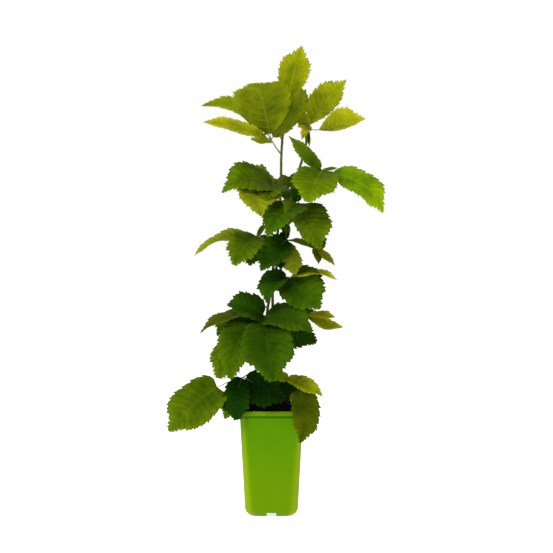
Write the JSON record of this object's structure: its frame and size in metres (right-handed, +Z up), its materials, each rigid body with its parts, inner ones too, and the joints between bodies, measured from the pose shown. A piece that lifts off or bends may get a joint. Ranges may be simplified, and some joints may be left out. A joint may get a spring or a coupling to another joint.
{
  "type": "potted bramble",
  "caption": "Young bramble bush with arching toothed compound leaves on slender canes, in a deep tapering square green nursery pot filled with soil.",
  "frame": {"origin": "middle of the pot's flat underside, on the surface that it stands on", "axes": "+Z up along the plant, -Y towards the front of the picture, +X to its right"},
  "size_m": [0.3695, 0.2624, 0.8074],
  "materials": {
    "pot_plastic": "satin lime green polypropylene",
    "soil": "dark moist bark compost",
    "cane_bark": "olive to red-brown young bark with fine prickles",
    "leaf_green": "soft green leaf blade, slightly glossy above",
    "leaf_light": "young yellow-green leaf blade"
  },
  "bodies": {
    "root": {"pot": "pot_plastic", "soil": "soil", "main_cane": "cane_bark", "side_cane": "cane_bark", "leaf_top": "leaf_light", "leaf_side_top": "leaf_light", "leaf_upper_left": "leaf_light", "leaf_left": "leaf_green", "leaf_right": "leaf_green", "leaf_centre": "leaf_green", "leaf_right_small": "leaf_green", "leaf_left_middle": "leaf_green", "leaf_front": "leaf_green", "leaf_right_middle": "leaf_green", "leaf_left_low": "leaf_green", "leaf_right_low": "leaf_green", "leaf_left_back": "leaf_green", "leaf_low_left": "leaf_green", "leaf_low_right": "leaf_green", "leaf_upper_back": "leaf_green", "leaf_back_top": "leaf_green", "leaf_back_left": "leaf_green", "leaf_back_centre": "leaf_green", "leaf_back_middle": "leaf_green", "leaf_back_right": "leaf_green", "leaf_back_low": "leaf_green", "leaf_back_foot": "leaf_green"}
  },
  "joints": []
}
